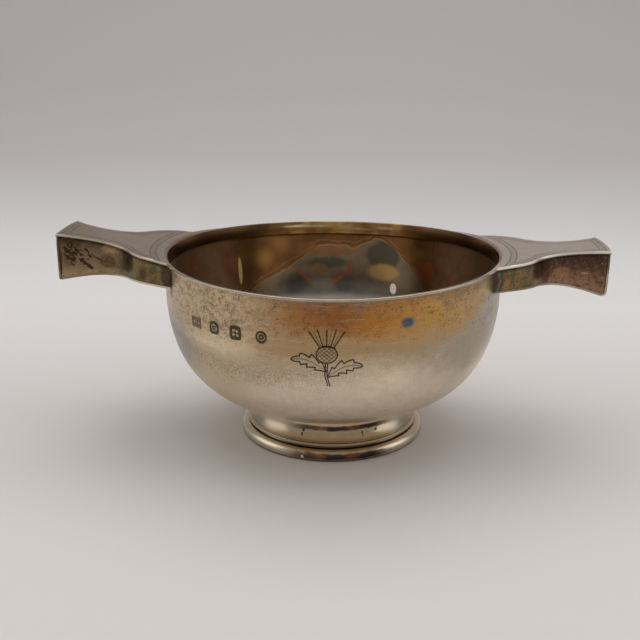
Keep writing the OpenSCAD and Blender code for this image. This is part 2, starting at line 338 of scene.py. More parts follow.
# The same silver inside the bowl: a dark browned mirror, with the room's reflection painted in as amber above
# a wavy line and slate below it
def paintBrownedSilverAndReflection(p, cloud):
    x, y, z = p.x, p.y, p.z
    tint = p.mask((cloud, 0.35, 0.65))
    # height of the wavy line, from 30 mm (black) to 50 mm (white), by side
    side = p.add("MapRange", {0: x, 1: -40.0, 2: 40.0})
    wave = p.add("ValToRGB", {0: side}, {"blend": "CARDINAL", "ramp": (
        (0.08, 0.0), (0.144, 0.17), (0.23, 0.35), (0.34, 0.57), (0.4, 0.78), (0.5, 0.83), (0.575, 0.8),
        (0.63, 0.89), (0.686, 0.96), (0.774, 0.75), (0.82, 0.5), (0.86, 0.27), (0.9, 0.0))})
    line = p.add("MapRange", {0: wave, 3: 30.0, 4: 50.0})
    over = p.add("Math", {0: z, 1: line}, minus)
    over = p.shake(over, (cloud, 0.7))
    amber = p.lay("6a4e32", ("7a5938", tint))
    slate = p.lay("73685b", ("817669", tint))
    colour = p.lay(slate, (amber, (over, -0.4, 0.4)))
    # thin bright lines along the wave, painted reflection too, then dull brown towards the handles
    for shift, strength in ((0.0, 0.55), (1.7, 0.3)):
        colour = p.lay(colour, ("b98d68", (p.away(over, shift), 0.35, 0.05, strength)))
    outer = p.mask((p.away(x, 0.0), 27.0, 41.0))
    brown = p.lay("87694f", ("947558", tint))
    colour = p.lay(colour, (brown, outer))
    colour = p.spots(colour, cloud, insideReflections)
    # rubbed clean on the bottom and the near side
    bottom = p.mask((z, 31.0, 26.0))
    clean = p.add("Math", {0: p.mask((y, 8.0, -8.0)), 1: bottom}, greatest)
    rubbed = p.lay("f2e9da", ("dcd2c2", bottom))
    # painted shadow: a dark line under the rim's band, which dips with the rim, weaker towards the handles
    dip = p.add("Math", {0: y, 1: y}, times)
    dip = p.add("Math", {0: dip, 1: rimDip / rimR ** 2, 2: z}, timesPlus)
    fade = p.add("MapRange", {0: outer, 3: 0.85, 4: 0.3})
    colour = p.lay(colour, (rubbed, clean), ("2a1b10", (dip, 51.1, 51.9, fade)))
    rough = p.add("Math", {0: outer, 1: clean}, greatest)
    rough = p.add("MapRange", {0: rough, 3: 0.17, 4: 0.42})
    rough = p.add("Math", {0: bottom, 1: 0.14, 2: rough}, timesPlus)
    return {"Base Color": colour, "Roughness": rough}


brownedSilverAndReflection = makeSilver("brownedSilverAndReflection", paintBrownedSilverAndReflection, (0.2, 3.0))


# Painted highlights: pale streaks on the far side of the rim's band
rimHighlights = {"ragged": 1.0, "deep": 9.0, "edge": 1.4, "spots": (
    ((-14.0, 46.0, 53.7), (4.6, 0.45), 0.0, 0.5, "ffe9b4", 0.8),
    ((-7.0, 47.5, 53.5), (4.2, 0.35), 0.0, 0.5, "cfc8a6", 0.6),
    ((7.5, 47.4, 52.6), (5.5, 0.4), 0.0, 0.5, "bdb999", 0.55),
    ((16.5, 45.1, 53.4), (3.2, 0.5), 0.0, 0.5, "d2c7a6", 0.5),
)}


# Drawn silver strip: bright satin on the lip, golden brown on the band inside
def paintRimSilver(p, cloud, glow):
    lip = p.lay("a39482", ("c9bcab", cloud))
    # bright in the middle, dull beyond it and paler again by the handles
    band = p.lay(
        "8a6239",
        ("c09a5f", (glow, 0.4, 0.7)),
        ("594229", (p.away(p.x, 3.0), 13.0, 32.0)),
        ("8f7050", (p.away(p.x, 0.0), 41.5, 47.0)))
    band = p.spots(band, cloud, rimHighlights)
    colour = p.lay(lip, (band, (p.fromAxis(), 49.42, 49.26)))
    return {"Base Color": colour, "Roughness": 0.24}


rimSilver = makeSilver("rimSilver", paintRimSilver, (0.3, 5.0), (0.14, 2.0))


# Spots on the front of the foot: dark pits, and one painted glint on the ring
footMarks = {"ragged": 1.0, "deep": 4.0, "edge": 1.5, "spots": (
    ((-7.6, -22.5, 7.5), (0.45, 0.4), 0.0, 0.2, "2a1f17", 0.85),
    ((-8.0, -22.5, 6.5), (0.3, 0.45), 0.0, 0.2, "2a1f17", 0.8),
    ((9.5, -21.8, 6.9), (0.25, 0.4), 0.0, 0.2, "2a1f17", 0.85),
    ((9.7, -21.8, 6.1), (0.2, 0.3), 0.0, 0.2, "2a1f17", 0.7),
    ((13.4, -18.7, 7.1), (0.4, 0.35), 0.0, 0.2, "2a1f17", 0.8),
    ((11.4, -19.6, 8.0), (0.5, 0.3), 0.0, 0.2, "2a1f17", 0.8),
    ((-6.2, -27.4, 2.6), (1.3, 0.25), 0.0, 0.2, "3a2c20", 0.7),
    # painted glint
    ((-7.7, -27.1, 1.3), (0.4, 0.4), 0.0, 0.2, "fffdf5", 1.0),
)}


# Polished silver of the foot: soft highlights at the sides, brown and copper reflections at the front
def paintFootSilver(p, cloud):
    x, y, z = p.x, p.y, p.z
    level = p.shake(z, (cloud, 0.2))
    front = p.mask((y, 0.0, -12.0))
    # painted highlights, bright to the left and right, and brown close to the floor at the front as a painted
    # reflection of the shaded floor
    pale = p.mask((p.away(x, 2.0), 9.0, 19.0))
    sides = p.lay("d8cab4", ("bbac98", (z, 4.0, 6.0)))
    colour = p.lay(
        "a89679",
        ("c4b397", cloud),
        (sides, pale),
        ("6e5848", (z, 0.75, 0.35), front))
    # two dark bands of painted reflection, one round the ring's lower side and one round the neck, which
    # change colour along the front, from 9 mm left of the middle to 15 mm right of it
    side = p.mask((p.away(x, 3.0), 17.0, 9.0), front)
    along = p.add("MapRange", {0: x, 1: -9.0, 2: 15.0})
    shade = p.add("ValToRGB", {0: along}, {"ramp": (
        (0.04, "5f4c3a"), (0.2, "6d523e"), (0.28, "93604a"), (0.37, "463b3c"),
        (0.54, "443a3b"), (0.65, "82543f"), (0.76, "4a3830"), (0.95, "3a2d26"))})
    for middle, half in ((1.6, 1.1), (8.4, 0.85)):
        colour = p.lay(colour, (shade, (p.away(level, middle), half, half / 2), side))
    colour = p.spots(colour, cloud, footMarks)
    # brown line on the flange's inner edge, and the groove between ring and collar painted near black
    colour = p.lay(
        colour,
        ("7a6248", (p.away(z, 5.2), 0.3, 0.1, 0.3)),
        ("1d150f", (p.away(z, 3.8), 0.4, 0.25), (p.fromAxis(), 25.9, 25.5)))
    rough = p.add("MapRange", {0: pale, 3: 0.17, 4: 0.3})
    return {"Base Color": colour, "Roughness": rough}


footSilver = makeSilver("footSilver", paintFootSilver, (0.4, 5.0))


# Satin sheet silver of the lug plates, dull grey, darker on the left, dark in the cut lines
def paintPlateSilver(p, cloud, grain):
    oxide = p.add("Attribute", None, oxideAndShadeLayer, "Fac")
    left = p.lay("8f8171", ("afa193", cloud))
    right = p.lay("b2a697", ("d0c6ba", cloud))
    side = p.rightHalf()
    corner = p.add("Math", {0: p.x, 1: p.y}, plus)
    cut = p.add("Math", {0: oxide, 1: 0.85}, times)
    colour = p.lay(
        left,
        (right, side),
        ("7a6e60", (grain, 0.6, 0.72, 0.4)),
        ("7d6d5c", (corner, -62.0, -80.0, 0.45)),
        ("4b433c", cut))
    return {"Base Color": colour, "Roughness": 0.38}


plateSilver = makeSilver("plateSilver", paintPlateSilver, (0.3, 6.0, 0.65), (2.2, 4.0))


# Bright edge of the plates: worn silver with a painted highlight along it, brighter on the right
def paintEdgeSilver(p, cloud):
    left = p.lay("baa992", ("e6d9c5", cloud))
    right = p.lay("f0e4d2", ("fffaf2", cloud))
    side = p.rightHalf()
    colour = p.lay(left, (right, side))
    return {"Base Color": colour, "Roughness": 0.36}


edgeSilver = makeSilver("edgeSilver", paintEdgeSilver, (0.35, 4.0))


# Patches on the walls: brown, pale gold and dark olive on the left, gold and dark on the right,
# and one pale scratch
wallMarks = {"ragged": 1.0, "deep": 6.0, "edge": 1.5, "spots": (
    ((-77.0, -9.5, 54.2), (2.0, 2.2), 0.0, 0.3, "5a4633", 0.5),
    ((-64.8, -7.5, 57.4), (2.6, 1.6), 0.0, 0.3, "a98d69", 0.75),
    ((-65.8, -7.5, 53.4), (2.6, 1.9), 0.0, 0.3, "58432f", 0.8),
    ((-53.2, -13.0, 52.4), (1.7, 2.8), 0.0, 0.3, "3a3428", 0.7),
    ((66.4, -8.0, 51.9), (2.6, 1.8), 0.0, 0.3, "9c7552", 0.55),
    ((61.2, -8.0, 52.8), (1.5, 3.6), 0.0, 0.3, "33251a", 0.75),
    ((73.0, -8.5, 51.8), (1.0, 0.25), 0.0, 0.3, "bda88f", 0.5),
)}


# Tarnished sheet of the handles' sides: brown, almost black outside on the right, olive by the bowl
def paintWallSilver(p, cloud, grain, stain):
    oxide = p.add("Attribute", None, oxideAndShadeLayer, "Fac")
    fall = p.add("Attribute", None, fallLayer, "Fac")
    level = p.shake(fall, (cloud, 0.16), (grain, 0.14))
    side = p.rightHalf()
    # left: dark under the plate, paler and yellower below
    left = p.add("ValToRGB", {0: level}, {"ramp": (
        (0.05, "4b3a2a"), (0.3, "7b644c"), (0.7, "877056"), (1.0, "a08b69"))})
    # right: almost black above, red-brown below, with dark and golden stains
    right = p.add("ValToRGB", {0: level}, {"ramp": (
        (0.1, "45352d"), (0.4, "5c463a"), (0.65, "8a6852"), (1.0, "927660"))})
    right = p.lay(
        right,
        ("3a2c25", (stain, 0.5, 0.62, 0.55)),
        ("9c7a5a", (stain, 0.46, 0.36, 0.35)))
    # olive between the waist and the bowl, further in on the right
    outer = p.add("Math", {0: side, 1: 4.0, 2: p.away(p.x, 0.0)}, timesPlus)
    olive = p.lay("5c5a43", ("84704f", (cloud, 0.35, 0.65)))
    colour = p.lay(left, (right, side), (olive, (outer, 66.0, 60.0)))
    colour = p.spots(colour, grain, wallMarks)
    # seam against the bowl, narrower above and below, painted as the reflection in a solder fillet: orange
    # beside it on the right, dark, and a pale streak on the right; then specks, the pits' dirt and the
    # painted shadow under the plate
    taper = p.away(level, 0.5)
    radius = p.add("Math", {0: taper, 1: 1.3, 2: p.fromAxis()}, timesPlus)
    colour = p.lay(
        colour,
        ("b27a4a", (p.away(radius, 52.9), 1.1, 0.2, 0.6), side, (level, 0.35, 0.7)),
        ("4a3a30", (radius, 52.3, 51.3, 0.85)),
        ("a39a95", (p.away(radius, 51.1), 0.5, 0.0, 0.3), side),
        ("3d2f22", (grain, 0.52, 0.66, 0.7)),
        ("a48d72", (grain, 0.44, 0.3, 0.5)),
        ("2b2118", oxide))
    return {"Base Color": colour, "Roughness": 0.22}


wallSilver = makeSilver("wallSilver", paintWallSilver, (0.3, 6.0, 0.65), (1.6, 5.0, 0.7), (0.55, 6.0, 0.7))


# The bent strap under each handle: the same sheet, dull on the left, rubbed paler on the right,
# dark up its end
def paintStrapSilver(p, cloud):
    left = p.lay("7a6852", ("a8957b", cloud))
    right = p.lay("9a8a75", ("d2c5b2", cloud))
    side = p.rightHalf()
    rootTone = p.lay("d6c6ad", ("8d8066", side))
    endTone = p.lay("655544", ("42362d", side))
    outer = p.away(p.x, 0.0)
    colour = p.lay(
        left,
        (right, side),
        (rootTone, (outer, 66.0, 58.0)),
        (endTone, (p.z, 50.5, 54.5, 0.8), (outer, 76.5, 77.8)))
    return {"Base Color": colour, "Roughness": 0.28}


strapSilver = makeSilver("strapSilver", paintStrapSilver, (0.3, 5.0))
print("materials made")


def arcPoints(centre, radius, fromDeg, toDeg, step):
    # points on an arc, about one step apart
    count = max(2, math.ceil(abs(math.radians(toDeg - fromDeg)) * radius / step))
    turns = np.radians(np.linspace(fromDeg, toDeg, count + 1))
    return [(centre[0] + radius * math.cos(t), centre[1] + radius * math.sin(t)) for t in turns]


def roundCorners(points, radii):
    # rounds the numbered corners of a closed profile
    bm = bmesh.new()
    corners = [bm.verts.new((r, 0, z)) for r, z in points]
    bm.faces.new(corners)
    for index, radius in radii.items():
        bmesh.ops.bevel(bm, geom=[corners[index]], offset=radius, affect="VERTICES",
                        segments=4, profile=0.5, material=-1)
    bm.faces.ensure_lookup_table()
    rounded = [(v.co.x, v.co.z) for v in bm.faces[0].verts]
    bm.free()
    return rounded


def spinProfile(points):
    # turns a closed profile about the cup's axis
    bm = bmesh.new()
    verts = [bm.verts.new((r, 0, z)) for r, z in points]
    edges = [bm.edges.new(pair) for pair in zip(verts, verts[1:] + verts[:1])]
    bmesh.ops.spin(bm, geom=verts + edges, cent=(0, 0, 0), axis=(0, 0, 1), dvec=(0, 0, 0),
                   angle=math.tau, steps=180, use_merge=True)
    bmesh.ops.remove_doubles(bm, verts=bm.verts, dist=weld)
    bmesh.ops.recalc_face_normals(bm, faces=bm.faces)
    return bm


def addObject(bm, name, materials):
    bmesh.ops.scale(bm, vec=(mm, mm, mm), verts=bm.verts)
    mesh = bpy.data.meshes.new(name)
    bm.to_mesh(mesh)
    bm.free()
    for material in materials:
        mesh.materials.append(material)
    mesh.shade_smooth()
    thing = bpy.data.objects.new(name, mesh)
    bpy.context.collection.objects.link(thing)
    return thing


def addPiece(bm, name, nodes, materials):
    piece = addObject(bm, name, materials)
    piece.data.set_sharp_from_angle(angle=math.radians(sharpFrom))
    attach(piece, "root")
    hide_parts(*nodes)
    print(name, len(piece.data.polygons), "faces")


def strokeDepth(points, strokes):
    # depth of the cut at each point of a flat drawing: the deepest stroke wins
    depth = np.zeros(len(points))
    for line, width, deep in strokes:
        line = np.asarray(line, float)
        reach = width / 2
        low, high = line.min(0) - reach, line.max(0) + reach
        near = np.nonzero(np.all((points > low) & (points < high), axis=1))[0]
        if not len(near):
            continue
        p = points[near]
        best = np.full(len(near), reach)
        for a, b in zip(line[:-1], line[1:]):
            along = b - a
            part = np.clip(((p - a) @ along) / max(along @ along, 1e-9), 0, 1)
            best = np.minimum(best, np.linalg.norm(p - a - part[:, None] * along, axis=1))
        cut = 1 - best / reach
        depth[near] = np.maximum(depth[near], deep * cut * (2 - cut))
    return depth


# Thistle sprig: a head, a crown of petals, a stem and two spiny leaves, drawn in millimetres
thistleSet = {
    "bold": (0.42, 0.16),  # width and depth of a stroke
    "fine": (0.30, 0.10),
    "headR": (2.7, 2.4),
    "headAt": (0.0, 1.6),
    "hatch": 5,
    "hatchIn": 0.68,
    "petals": 9,
    "petalSpread": 56,
    "petalFoot": (1.5, 0.92),
    "petalFan": 1.25,
    "petalReach": (4.6, 0.72),  # length of a long petal, and a short one's share of it
    "cupAt": (0.8, 0.75),
    "stemEnd": (0.5, -7.6),
    "stemHalf": 0.28,
    "stemBend": 0.5,
    "leafRoots": ((-1, -3.4), (1, -5.0)),  # side and height
    "leafSpan": 9.4,
    "leafRise": 2.6,
    "leafBow": 1.9,
    "leafHalf": 2.1,
    "leafLobes": 4,
    "toothDeep": 0.55,
}


def thistleStrokes():
    s = thistleSet
    bold, fine = s["bold"], s["fine"]
    cx, cy = s["headAt"]
    rx, ry = s["headR"]
    strokes = []
    turns = np.radians(np.linspace(0, 360, 41))
    strokes.append(([(cx + rx * math.cos(t), cy + ry * math.sin(t)) for t in turns], *bold))
    # diamond hatching on the head
    for i in range(1, s["hatch"] + 1):
        offset = 2 * i / (s["hatch"] + 1) - 1
        half = math.sqrt(1 - offset * offset)
        for lean in (-1, 1):
            ends = [(offset + lean * e * half, e * half - lean * offset) for e in (-1, 1)]
            inside = [(cx + rx * x * s["hatchIn"], cy + ry * y * s["hatchIn"]) for x, y in ends]
            strokes.append((inside, *fine))
    # petals fan out from the head's top, every second one short and fine
    footX, footY = s["petalFoot"]
    for i in range(s["petals"]):
        lean = math.radians((2 * i / (s["petals"] - 1) - 1) * s["petalSpread"] / 2)
        foot = (cx + rx * footX * math.sin(lean), cy + ry * footY)
        reach = s["petalReach"][0] * (s["petalReach"][1] if i % 2 else 1)
        tip = (foot[0] + reach * math.sin(lean * s["petalFan"]), foot[1] + reach * math.cos(lean))
        strokes.append(([foot, tip], *(fine if i % 2 else bold)))
    # cup under the petals
    cupX, cupY = rx * s["cupAt"][0], cy + ry * s["cupAt"][1]
    strokes.append(([(cx - cupX, cupY), (cx, cy + ry * footY), (cx + cupX, cupY)], *bold))
    top, end = (cx, cy - ry), s["stemEnd"]
    bend = ((top[0] + end[0]) / 2 - s["stemBend"], (top[1] + end[1]) / 2)
    for shift in (-s["stemHalf"], s["stemHalf"]):
        strokes.append(([(x + shift, y) for x, y in (top, bend, end)], *bold))
    # leaves: a curved midrib with a saw-toothed outline on both sides
    for side, root in s["leafRoots"]:
        def midrib(t):
            bow = s["leafBow"] * math.sin(math.pi * t * 0.9)
            return np.array([side * s["leafSpan"] * t, root + s["leafRise"] * t + bow])
        ts = np.linspace(0.02, 1, 49)
        ribs = [midrib(t) for t in ts]
        strokes.append((ribs, *fine))
        for edge in (-1, 1):
            outline = []
            for t, p in zip(ts, ribs):
                tooth = 1 - s["toothDeep"] * (1 - (t * s["leafLobes"]) % 1)
                half = s["leafHalf"] * math.sin(math.pi * t) ** 0.8 * tooth
                ahead = midrib(t + 0.01) - midrib(t - 0.01)
                across = np.array([-ahead[1], ahead[0]]) / np.linalg.norm(ahead)
                outline.append(p + edge * half * across)
            strokes.append((outline, *bold))
    return strokes


# Punched marks: sunk fields with a plain raised device in each
markSet = {
    "angles": (-136, -127.5, -119, -110),
    "height": 43.7,
    "halfSize": ((2.3, 1.55), (1.9, 2.0), (2.0, 2.15), (1.8, 1.85)),
    "corner": (8, 3, 4, 2),
    "deep": 0.22,
    "device": 0.15,  # what is left of the depth on the device
    "stain": (0.68, 0.86, 0.88, 0.94),
}


def markDepth(u, v, index):
    s = markSet
    a, b = s["halfSize"][index]
    power = s["corner"][index]
    field = np.clip((1 - (np.abs(u / a) ** power + np.abs(v / b) ** power)) * 3, 0, 1)
    r = np.hypot(u, v)
    pellets = np.hypot(np.minimum(np.abs(u), np.abs(np.abs(u) - 1.0)), v) < 0.36
    ring = (np.abs(r - 0.85) < 0.2) | (r < 0.28)
    petals = np.hypot(np.abs(u) - 0.55, np.abs(v) - 0.55) < 0.42
    dot = (r < 0.36) | (np.abs(r - 0.95) < 0.17)
    device = (pellets, ring, petals, dot)[index]
    return s["deep"] * field * np.where(device, s["device"], 1)


# Bowl: side, corner and dish arcs run smoothly into each other, as on the solid
bowlSet = {
    "wall": 0.8,
    "wallFrom": 45.5,
    "sideR": 48,
    "sideTurn": 19,
    "dishR": 110,
    "lipH": 0.65,
    "fine": 0.16,
    "coarse": 1.6,
    "upperRows": 8,
    "plainColumns": 121,
    "engraveFrom": -140,
    "engraveTo": -77,
    "engraveTop": 47.8,
    "motifAt": (-90, 38.6),
    "uneven": 0.05,
    "unevenSize": 11,
    "unevenFade": 6,
    "stainFrom": 0.13,
}


def bowlArcs():
    s = bowlSet
    turn = math.radians(s["sideTurn"])
    sideC = (bowlR - s["sideR"], s["wallFrom"])
    end = Vector((sideC[0] + s["sideR"] * math.cos(turn), sideC[1] - s["sideR"] * math.sin(turn)))
    inward = Vector((-math.cos(turn), math.sin(turn)))
    dishC = Vector((0, bowlBase + s["dishR"]))
    across = end - dishC
    cornerR = (s["dishR"] ** 2 - across.length_squared) / (2 * (across.dot(inward) + s["dishR"]))
    cornerC = end + cornerR * inward
    dishTurn = math.degrees(math.atan2(cornerC.y - dishC.y, cornerC.x - dishC.x))
    return sideC, cornerC, cornerR, dishC, dishTurn


def bowlProfile(inset, sideStep):
    s = bowlSet
    sideC, cornerC, cornerR, dishC, dishTurn = bowlArcs()
    r = bowlR - inset
    top = rimTop - s["lipH"]
    upper = [(r, z) for z in np.linspace(top, s["engraveTop"], s["upperRows"])]
    lower = [(r, z) for z in np.arange(s["engraveTop"] - sideStep, s["wallFrom"] + sideStep / 2, -sideStep)]
    side = arcPoints(sideC, s["sideR"] - inset, 0, -s["sideTurn"], sideStep)
    corner = arcPoints(cornerC, cornerR - inset, -s["sideTurn"], dishTurn, s["coarse"])
    dish = arcPoints(dishC, s["dishR"] - inset, dishTurn, -90, 2 * s["coarse"])
    return upper + lower + side + corner[1:] + dish[1:]


def turnedSheet(bm, profile, angles):
    # a grid whose rows follow the profile and whose columns stand at the given angles
    made = bmesh.ops.create_grid(bm, x_segments=len(angles) - 1, y_segments=len(profile) - 1, size=1)
    for v in made["verts"]:
        turn = math.radians(angles[round((v.co.x + 1) / 2 * (len(angles) - 1))])
        r, z = profile[round((v.co.y + 1) / 2 * (len(profile) - 1))]
        v.co = (r * math.cos(turn), r * math.sin(turn), z)
    return made["verts"]


def makeBowl():
    s = bowlSet
    bm = bmesh.new()
    fineSteps = math.ceil(math.radians(s["engraveTo"] - s["engraveFrom"]) * bowlR / s["fine"])
    angles = list(np.linspace(s["engraveFrom"], s["engraveTo"], fineSteps + 1))
    angles += list(np.linspace(s["engraveTo"], s["engraveFrom"] + 360, s["plainColumns"]))[1:]
    turnedSheet(bm, bowlProfile(0, s["fine"]), angles)
    inner = set(turnedSheet(bm, bowlProfile(s["wall"], 2 * s["coarse"]), angles))
    for face in bm.faces:
        face.material_index = 1 if face.verts[0] in inner else 0
    bmesh.ops.remove_doubles(bm, verts=bm.verts, dist=weld)
    rims = [e for e in bm.edges if e.is_boundary]
    bmesh.ops.bridge_loops(bm, edges=rims)
    bmesh.ops.recalc_face_normals(bm, faces=bm.faces)

    oxide = bm.verts.layers.float.new("oxide")
    verts = list(bm.verts)
    place = np.array([v.co for v in verts])
    angle = np.degrees(np.arctan2(place[:, 1], place[:, 0]))
    motifAngle, motifZ = s["motifAt"]
    flat = np.stack([np.radians(angle - motifAngle) * bowlR, place[:, 2] - motifZ], axis=1)
    depth = strokeDepth(flat, thistleStrokes())
    stain = np.minimum(1, depth / s["stainFrom"])
    for index, markAngle in enumerate(markSet["angles"]):
        u = np.radians(angle - markAngle) * bowlR
        punch = markDepth(u, place[:, 2] - markSet["height"], index)
        depth = np.maximum(depth, punch)
        stain = np.maximum(stain, punch / markSet["deep"] * markSet["stain"][index])
    inner = set(v for f in bm.faces if f.material_index == 1 for v in f.verts)
    wallTop = rimTop - s["lipH"]
    for v, d, dark in zip(verts, depth, stain):
        out = Vector((v.co.x, v.co.y, 0)).normalized()
        # slightly uneven, as raised sheet is
        wave = noise.noise(v.co / s["unevenSize"]) * s["uneven"]
        if v in inner:
            d = dark = 0
        fade = share((wallTop - v.co.z) / s["unevenFade"])
        v.co -= out * (d + fade * (s["uneven"] / 2 + wave / 2))
        v[oxide] = dark
        up = share((v.co.z - s["wallFrom"]) / (wallTop - s["wallFrom"]))
        v.co.z -= sweepDip(v.co.y) * up * up * (3 - 2 * up)
    addPiece(bm, "bowl_shell", ["bowl"], [wornSilverAndReflection, brownedSilverAndReflection])


makeBowl()

# Rim: drawn L-section strip, a lip on the bowl's edge and a band inside it
rimSet = {"bandWall": 0.5, "bandH": 4, "topW": 1.15, "lowRound": 0.15, "topRound": 0.24}


def makeRim():
    s = rimSet
    bandOut = bowlR - bowlSet["wall"]
    bandIn = bandOut - s["bandWall"]
    lipLow = rimTop - bowlSet["lipH"]
    edge = rimR - clear
    profile = [(bandIn, rimTop - s["bandH"]), (bandOut, rimTop - s["bandH"]), (bandOut, lipLow),
               (edge, lipLow), (edge, rimTop), (edge - s["topW"], rimTop)]
    rounds = {0: s["lowRound"], 3: s["lowRound"], 4: s["topRound"], 5: s["topRound"]}
    bm = spinProfile(roundCorners(profile, rounds))
    for v in bm.verts:
        v.co.z -= sweepDip(v.co.y)
    addPiece(bm, "rim_strip", ["rim_band"], [rimSilver])


makeRim()

# Foot: spun collar with a hollow neck, and a half-round base wire under it
footSet = {
    "ringR": 2.1, "grooveD": 0.9, "grooveH": 0.6, "collarWall": 0.9, "flangeT": 0.9, "land": 0.6,
    "neckBack": 3.3, "neckStraight": 0.8, "neckIn": 0.2, "edgeRound": 0.18, "ringRound": 0.2,
    "neckStep": 0.35, "underStep": 0.5, "ringStep": 0.2,
}


def makeFoot():
    s = footSet
    ringR, ringH = s["ringR"], ringHigh.z
    footR, flangeR = ringHigh.x, collarHigh.x
    seatR = flangeR - s["grooveD"]
    seatIn = seatR - s["collarWall"]
    flangeLow = collarLow.z + s["grooveH"]
    flangeTop = flangeLow + s["flangeT"]
    neckR = flangeR - s["neckBack"]
    bowlAtNeck = bowlBase + bowlSet["dishR"] - math.sqrt(bowlSet["dishR"] ** 2 - neckR ** 2)
    neckZ = bowlAtNeck - s["neckStraight"]
    out, down = s["neckBack"] - s["land"], neckZ - flangeTop
    hollowR = (out * out + down * down) / (2 * out)
    hollowC = (neckR + hollowR, neckZ)
    hollowTurn = math.degrees(math.atan2(down, hollowR - out))
    profile = [(neckR, bowlAtNeck + s["neckIn"])]
    profile += arcPoints(hollowC, hollowR, 180, 180 + hollowTurn, s["neckStep"])
    flange = len(profile)
    profile += [(flangeR, flangeTop), (flangeR, flangeLow), (seatR, flangeLow)]
    profile += [(seatR, ringH), (seatIn, ringH)]
    underTurn = math.degrees(math.acos((hollowC[0] - seatIn) / (hollowR + s["collarWall"])))
    profile += arcPoints(hollowC, hollowR + s["collarWall"], 180 + underTurn, 180, s["underStep"])
    profile += [(neckR - s["collarWall"], bowlAtNeck)]
    bm = spinProfile(roundCorners(profile, {flange: s["edgeRound"], flange + 1: s["edgeRound"]}))
    addPiece(bm, "foot_collar_spun", ["foot_collar"], [footSilver])

    ringC = (footR - ringR, ringH - ringR)
    lowTurn = math.degrees(math.asin(ringC[1] / ringR))
    profile = [(seatIn, 0), (ringC[0] + ringR * math.cos(math.radians(lowTurn)), 0)]
    profile += arcPoints(ringC, ringR, -lowTurn, 90, s["ringStep"])[1:]
    profile += [(seatIn, ringH)]
    bm = spinProfile(roundCorners(profile, {1: s["ringRound"]}))
    addPiece(bm, "foot_ring_wire", ["foot_ring"], [footSilver])


makeFoot()

# Handles: an hourglass outline of arcs, as on the solid
handleSet = {
    "endBow": 0.65, "waistOut": 20, "waistW": 14.9, "flareR": 19.5, "waistR": 14,
    "flareAngle": 56, "shoulderR": 21, "rise": 8,
    "plateT": 0.75, "plateStep": 0.15, "plateLap": 0.4, "endLap": 0.15,
    "strapT": 0.55, "bendR": 1.4, "wallBack": 0.2, "wallT": 0.8, "overlap": 0.05,
    "wingW": 1.6, "wingAngle": 46, "overRim": 0.6, "lift": 0.55, "under": 0.3,
    "rows": 240, "columns": 190, "edgePoints": 4000, "chamfer": 0.12,
    "strapColumns": 24, "wallColumns": 220, "wallRows": 60,
    "archStep": 0.5, "bendStep": 0.2, "endGap": 0.4, "endRows": 10,
    "lineAt": (1.3, 2.9), "zigInset": 0.25, "zigShare": 0.7, "rimLineOut": 0.9, "cutFrom": 0.8,
    "lineW": 0.42, "lineDeep": 0.06, "zigzag": 1.5,
    "rootX": 45, "sink": 0.3,  # where the outline starts, and how far the ends go into the bowl's wall
    "fitTo": 70, "endFrom": 74,  # the strap is fitted to the bowl up to here, and to the end from here
}
# Changes at the plate's root: how far out from the rim each reaches, and the lift's half width and its fade
rootSet = {"round": 30, "lift": 25, "liftHalf": 34, "liftFade": 14, "dip": 12, "near": 18}
# Where the handle's end starts to lean, over what length, and over what height
leanSet = {"from": 70, "run": 9, "top": 4, "height": 10.5}
sideSet = {
    "left": {"side": -1, "reach": 80.5, "set": 3.7, "depth": 6.6, "arch": 0.3, "archR": 130,
             "nearBow": 0.05, "nearIn": 1.6, "lean": 0.55},
    "right": {"side": 1, "reach": 80.0, "set": -2.4, "depth": 6.6, "arch": 6.3, "archR": 85,
              "nearBow": 0.65, "nearIn": 1.5, "lean": 0.35},
}
rootZ = rimTop - handleSet["plateStep"]
slope = math.tan(math.radians(handleSet["rise"]))


def halfWidth(x):
    # half the outline's width at a distance from the bowl's axis
    s = handleSet
    waistX, half = rimR + s["waistOut"], s["waistW"] / 2
    turn = math.radians(s["flareAngle"])
    if x >= waistX:
        return half + s["flareR"] - math.sqrt(s["flareR"] ** 2 - (x - waistX) ** 2)
    if x >= waistX - s["waistR"] * math.sin(turn):
        return half + s["waistR"] - math.sqrt(s["waistR"] ** 2 - (x - waistX) ** 2)
    shoulderX = waistX - (s["waistR"] + s["shoulderR"]) * math.sin(turn)
    shoulderY = half + s["waistR"] - (s["waistR"] + s["shoulderR"]) * math.cos(turn)
    if x <= shoulderX:
        return shoulderY + s["shoulderR"]
    return shoulderY + math.sqrt(s["shoulderR"] ** 2 - (x - shoulderX) ** 2)


def plateReach(name):
    # how far out the solid's plate goes, and how high
    low, high = nodeBox(name + "_top_plate")
    return max(abs(low.x), abs(high.x)), high.z


def plateTop(x, y, h):
    # the plate stands a little proud of the rim all along its root, and rises outwards
    out = share((x - rimR) / rootSet["round"])
    away = (math.hypot(x, y) - rimR) * (1 - out) + (x - rimR) * out
    middle = share((rootSet["liftHalf"] - abs(y)) / rootSet["liftFade"])
    lift = handleSet["lift"] * middle * share(1 - max(0, away) / rootSet["lift"])
    dip = sweepDip(y) * share(1 - max(0, away) / rootSet["dip"])
    rise = math.tan(math.radians(handleSet["rise"] + h["set"]))
    return rootZ + away * rise + lift - dip


def setHandle(bm, h):
    # mirrors a left-hand piece and points its faces outwards
    if h["side"] < 0:
        bmesh.ops.scale(bm, vec=(-1, 1, 1), verts=bm.verts)
    bmesh.ops.recalc_face_normals(bm, faces=bm.faces)


def handleTurn(x, z, h):
    # a point of the side profile, set at the handle's own angle about the rim
    a = math.radians(h["set"])
    dx, dz = x - rimR, z - rootZ
    return rimR + dx * math.cos(a) - dz * math.sin(a), rootZ + dx * math.sin(a) + dz * math.cos(a)


